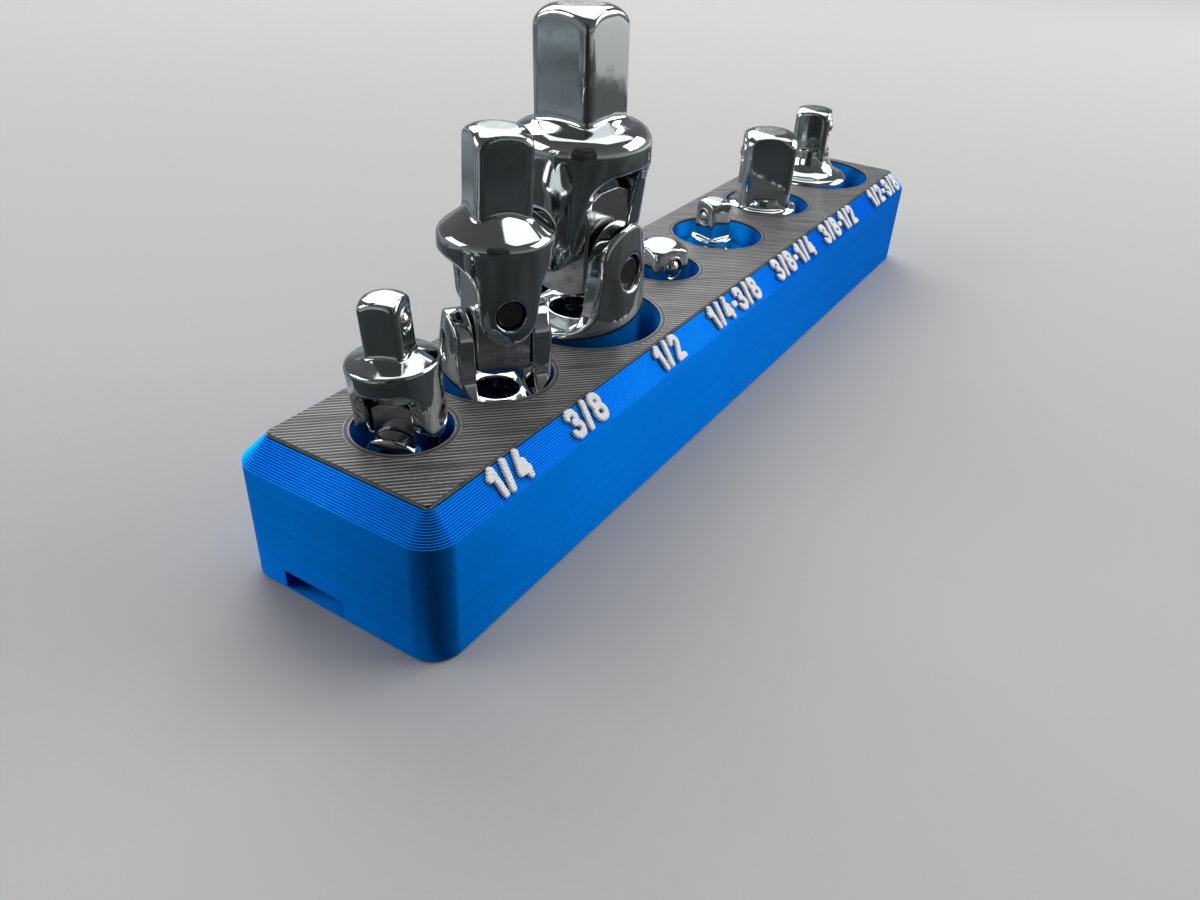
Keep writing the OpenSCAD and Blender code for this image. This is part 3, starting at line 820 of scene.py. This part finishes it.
    def build(self) -> None:
        """Makes the shell, dresses the deck and sets the labels."""
        shell = self.shell()
        wear(shell, PrintedBlue(self.length / 2, self.width / 2, self.corner, self.side_top).material())
        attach(shell, "tray")
        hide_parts("tray_body")
        log.info("tray shell: %d faces", len(shell.data.polygons))
        deck = self.deck()
        slope = self.deck_z - self.side_top + 2 * LAYER
        wear(deck, PrintedDeck(self.pockets(), self.length / 2 - slope, self.width / 2 - slope).material())
        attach(deck, "tray")
        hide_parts("deck_inlay")
        log.info("deck: %d faces", len(deck.data.polygons))
        white = PrintedWhite().material()
        for number in range(1, 8):
            label = self.beads(number)
            wear(label, white)
            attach(label, "tray")
            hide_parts(f"label_{number}")
        log.info("labels set")
        magnets = PlainSteel(Steel.MAGNET, (0.62, 0.6, 0.56), 0.2, (0.1, 1.0, 1.0), 0.3 * MM)
        wear(bpy.data.objects["bar_magnets"], magnets.material())


# The rim's section from outside to inside: each ring's share of the outer radius and of the rim's height.
RIM_SECTION = ((0.985, 0.045), (0.93, 0.075), (0.86, 0.07), (0.8, 0.035), (0.775, -0.06), (0.985, -0.06))
RIM_RADIUS = 0.62
RIM_HEIGHT = 0.55


@dataclass
class SquareTool:
    """One tool of the row: its plated body or forks, its ball and the rim peened over it.

    The grit is the voxel size of the worn pieces, and the rubs are how many times each is smoothed.
    """

    name: str
    chrome_nodes: dict[str, str]
    rim_body: str
    ball_d: float
    flat: float
    grit: float
    steels: dict[Steel, bpy.types.Material] = field(default_factory=dict)
    rubs: int = 28

    def press(self, record: dict) -> dict:
        """The joint along which the ball is pressed in."""
        return next(j for j in record["behaviour"]["joints"] if j["child"] == self.name + "_ball")

    def frame(self, record: dict) -> tuple[Matrix, Vector]:
        """The square's own frame: its top centre, and X towards the ball.

        Args:
            record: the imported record.

        Returns:
            The frame's axes as columns, and its origin.
        """
        mount = next(m for m in record["mounts"] if m["name"] == self.name + "_drive")
        press = self.press(record)
        up = Vector(mount["axis"]).normalized()
        out = -Vector(press["axis"])
        out = (out - up * out.dot(up)).normalized()
        return Matrix((out, up.cross(out), up)).transposed(), Vector(mount["pos_m"])

    def ball_place(self) -> Vector:
        """The middle of the ball."""
        low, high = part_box(self.name + "_ball")
        return (Vector(low) + Vector(high)) / 2

    def rim(self, turn: Matrix, top: Vector) -> bpy.types.Object:
        """The rim peened over the ball: a ring drawn out from a circle, low outside and rounded inside.

        Args:
            turn: the square's axes.
            top: its top centre.

        Returns:
            The ring, lying on the square's face.
        """
        ball = turn.transposed() @ (self.ball_place() - top)
        outer = self.ball_d * RIM_RADIUS
        bpy.ops.mesh.primitive_circle_add(vertices=40, radius=outer, fill_type="NOTHING")
        ring = bpy.context.object
        Bench.edit(ring)
        bpy.ops.mesh.select_mode(type="VERT")
        bpy.ops.mesh.select_all(action="SELECT")
        for share, height in RIM_SECTION:
            bpy.ops.mesh.extrude_region_move(TRANSFORM_OT_translate={"value": (0, 0, 0)})
            mesh = bmesh.from_edit_mesh(ring.data)
            taken = [v for v in mesh.verts if v.select]
            for vertex in taken:
                flat = Vector((vertex.co.x, vertex.co.y, 0)).normalized() * outer * share
                vertex.co = (flat.x, flat.y, height * self.ball_d * RIM_HEIGHT)
            bmesh.update_edit_mesh(ring.data)
        bpy.ops.mesh.select_all(action="SELECT")
        bpy.ops.mesh.remove_doubles(threshold=0.001 * MM)
        bpy.ops.object.mode_set(mode="OBJECT")
        quarter = Matrix(((0, 0, 1), (0, 1, 0), (-1, 0, 0)))
        middle = top + turn @ Vector((self.flat / 2, ball.y, ball.z))
        ring.matrix_world = Matrix.Translation(middle) @ (turn @ quarter).to_4x4()
        return Bench.done(ring, self.name + "_ball_rim", 50.0)

    def forged(self, node: str, body: str) -> bpy.types.Object:
        """One forged or turned piece, with every edge worn round and every corner filled a little.

        Args:
            node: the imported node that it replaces.
            body: the body that it rides on.

        Returns:
            The piece.
        """
        name = node.replace("_fork", "_forging").replace("_body", "_turning")
        piece = Bench.lift_copy(node, name)
        Bench.modify(piece, "REMESH", mode="VOXEL", voxel_size=self.grit)
        Bench.modify(piece, "SMOOTH", factor=0.5, iterations=self.rubs)
        Bench.done(piece, name, 60.0)
        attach(piece, body)
        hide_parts(node)
        log.info("%s: %d faces", name, len(piece.data.polygons))
        return piece

    def coil(self, record: dict) -> None:
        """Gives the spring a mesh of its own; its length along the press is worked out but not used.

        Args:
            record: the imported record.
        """
        press = self.press(record)
        spring = bpy.data.objects[self.name + "_spring"]
        axis = Vector(press["axis"]).normalized()
        reach = [(spring.matrix_world @ v.co).dot(axis) for v in spring.data.vertices]
        length = max(reach) - min(reach)
        axis * max(reach)
        1 - press["range_m"][1] / length
        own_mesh(spring)

    def build(self, record: dict) -> None:
        """Makes the tool's plated pieces, dresses the others and adds the rim.

        Args:
            record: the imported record.
        """
        turn, top = self.frame(record)
        chrome = PolishedChrome(self.name, turn, top, self.flat).material()
        for node, body in self.chrome_nodes.items():
            wear(self.forged(node, body), chrome)
        for ending, kind in (
            ("_cross_block", Steel.BLOCK),
            ("_lower_pin", Steel.PIN),
            ("_upper_pin", Steel.PIN),
            ("_ball", Steel.BALL),
            ("_spring", Steel.WIRE),
        ):
            node = bpy.data.objects.get(self.name + ending)
            if node:
                wear(node, self.steels[kind])
        rim = self.rim(turn, top)
        wear(rim, chrome)
        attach(rim, self.rim_body)
        self.coil(record)
        log.info("%s dressed", self.name)


@dataclass
class Studio:
    """The pale table, four soft lamps, the dark cards that only the metal mirrors, the sky and the camera."""

    eye: Vector = field(default_factory=lambda: Vector((-181.67, -90.52, 106.58)) * MM)
    yaw: float = 30.65
    pitch: float = -33.2
    roll: float = 3.28
    lens: float = 28.35

    def camera(self) -> None:
        """Stands the camera where the photograph was taken."""
        yaw, pitch, roll = (math.radians(a) for a in (self.yaw, self.pitch, self.roll))
        ahead = Vector((math.cos(yaw) * math.cos(pitch), math.sin(yaw) * math.cos(pitch), math.sin(pitch)))
        right = ahead.cross(Vector((0, 0, 1))).normalized()
        up = right.cross(ahead)
        right, up = (
            math.cos(roll) * right + math.sin(roll) * up,
            -math.sin(roll) * right + math.cos(roll) * up,
        )
        data = bpy.data.cameras.new("camera")
        data.lens = self.lens
        data.sensor_width = 36
        data.clip_start = 0.005
        data.clip_end = 20
        camera = bpy.data.objects.new("camera", data)
        looking = Matrix((right, up, -ahead)).transposed().to_4x4()
        camera.matrix_world = Matrix.Translation(self.eye) @ looking
        bpy.context.scene.collection.objects.link(camera)
        bpy.context.scene.camera = camera

    def lamp(self, name: str, place: Sequence[float], size: tuple[float, float], power: float) -> None:
        """Hangs one soft box that faces the tray.

        Args:
            name: its name.
            place: where it hangs, in metres.
            size: its width and height, in metres.
            power: its power in watts.
        """
        data = bpy.data.lights.new(name, "AREA")
        data.shape = "RECTANGLE"
        data.size, data.size_y = size
        data.energy = power
        lamp = bpy.data.objects.new(name, data)
        lamp.location = place
        lamp.rotation_euler = (Vector((0, 0, 0.03)) - Vector(place)).to_track_quat("-Z", "Y").to_euler()
        bpy.context.scene.collection.objects.link(lamp)

    def flag(
        self,
        name: str,
        place: Sequence[float],
        size: tuple[float, float],
        turn: tuple[float, float] = (0.0, 0.0),
        tone: float = 0.02,
    ) -> None:
        """Sets a dark card near the tray, which only shows in what shines.

        Args:
            name: its name.
            place: its middle, in metres.
            size: its width and height, in metres.
            turn: how far it is tipped up and then turned about the vertical, in degrees.
            tone: how light a grey it is.
        """
        bpy.ops.mesh.primitive_grid_add(x_subdivisions=2, y_subdivisions=2, size=1)
        card = bpy.context.object
        card.scale = (size[0], size[1], 1)
        card.rotation_euler = (math.radians(turn[0]), 0, math.radians(turn[1]))
        card.location = place
        Bench.done(card, name)
        sheet = NodeSheet(name)
        cloud = sheet.noise(sheet.place(), 90 * MM, 1.0)
        cool = (0.84 * tone, tone, 1.12 * tone)
        shade, light = (tuple(share * part for part in cool) for share in (0.3, 2.2))
        colour = sheet.mix(cloud.clear(0.3, 0.75), shade, light)
        wear(card, sheet.set(Base_Color=colour, Roughness=0.9))
        card.visible_camera = card.visible_diffuse = card.visible_shadow = False
        card.visible_transmission = False

    def sky(self) -> None:
        """A soft grey room: dim overhead and pale towards the table's edge."""
        world = bpy.data.worlds.new("room")
        world.use_nodes = True
        bpy.context.scene.world = world
        tree = world.node_tree
        ramp = tree.nodes.new("ShaderNodeValToRGB")
        for element, (place, tone) in zip(ramp.color_ramp.elements, ((0.48, 0.45), (0.95, 0.1))):
            element.position = place
            element.color = (tone, tone, tone * 1.02, 1)
        middle = ramp.color_ramp.elements.new(0.6)
        middle.color = (0.16, 0.16, 0.17, 1)
        split = tree.nodes.new("ShaderNodeSeparateXYZ")
        half = tree.nodes.new("ShaderNodeMath")
        half.operation = "MULTIPLY_ADD"
        half.inputs[1].default_value = 0.5
        half.inputs[2].default_value = 0.5
        place = tree.nodes.new("ShaderNodeTexCoord")
        tree.links.new(place.outputs["Generated"], split.inputs[0])
        tree.links.new(split.outputs[2], half.inputs[0])
        tree.links.new(half.outputs[0], ramp.inputs[0])
        tree.links.new(ramp.outputs[0], tree.nodes["Background"].inputs["Color"])
        tree.nodes["Background"].inputs["Strength"].default_value = 1.0

    def build(self) -> None:
        """Lays the table and sets the lamps, the sky and the camera."""
        bpy.ops.mesh.primitive_plane_add(size=8, location=(0, 0, 0))
        table = Bench.done(bpy.context.object, "table")
        wear(table, PaleTable().material())
        for name, place, size, power in (
            ("over", (0.4, 0.1, 1.1), (1.4, 1.0), 7.5),
            ("right", (0.8, -0.7, 0.5), (1.0, 0.6), 8.5),
            ("left", (-0.6, 0.75, 0.55), (0.8, 0.5), 4.2),
            ("back", (0.75, 0.8, 0.75), (1.1, 0.6), 10.0),
        ):
            self.lamp("soft_box_" + name, place, size, power)
        self.flag("flag_floor", (-0.2, -0.29, 0.0004), (1.0, 0.54))
        self.flag("flag_end", (-0.165, 0.03, 0.0008), (0.1, 0.2))
        self.flag("flag_near", (-0.26, -0.17, 0.2), (0.2, 0.5), turn=(90.0, 133.0))
        self.flag("flag_behind", (0.0, 0.36, 0.0005), (1.4, 0.6), tone=0.14)
        self.sky()
        self.camera()
        bpy.context.scene.view_settings.view_transform = "Standard"
        log.info("studio set")


def tools(steels: dict[Steel, bpy.types.Material]) -> list[SquareTool]:
    """The seven tools in row order.

    Args:
        steels: the materials of the small pieces.

    Returns:
        The tools, ready to build.
    """
    row = []
    for size, ball_d, flat, grit in (
        ("14", 3.4, 6.35, 0.15),
        ("38", 4.4, 9.5, 0.2),
        ("12", 5.4, 12.7, 0.26),
    ):
        name = "joint_" + size
        nodes = {name + "_socket_fork": name + "_socket", name + "_drive_fork": name + "_drive"}
        row.append(SquareTool(name, nodes, name + "_drive", ball_d * MM, flat * MM, grit * MM, steels))
    for sizes, ball_d, flat, grit in (
        ("14_38", 4.4, 9.5, 0.16),
        ("38_14", 3.4, 6.35, 0.17),
        ("38_12", 5.4, 12.7, 0.22),
        ("12_38", 4.4, 9.5, 0.22),
    ):
        name = "adapter_" + sizes
        row.append(SquareTool(name, {name + "_body": name}, name, ball_d * MM, flat * MM, grit * MM, steels))
    return row


def main() -> None:
    """Builds the classes in order."""
    logging.basicConfig(level=logging.INFO, format="%(name)s: %(message)s")
    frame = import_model()
    Bench.clear()
    steels = {
        finish.kind: finish.material()
        for finish in (
            PlainSteel(Steel.BLOCK, (0.5, 0.5, 0.51), 0.16, (1.0, 1.0, 0.3), 0.3 * MM),
            PlainSteel(Steel.PIN, (0.12, 0.115, 0.11), 0.3, (1.0, 1.0, 1.0), 0.2 * MM),
            PlainSteel(Steel.BALL, (0.68, 0.62, 0.53), 0.07, (1.0, 1.0, 1.0), 0.02 * MM),
            PlainSteel(Steel.WIRE, (0.42, 0.42, 0.42), 0.25, (1.0, 1.0, 1.0), 0.02 * MM),
        )
    }
    Tray().build()
    for tool in tools(steels):
        tool.build(frame["record"])
    Studio().build()
    Bench.clear()


if __name__ == "__main__":
    main()
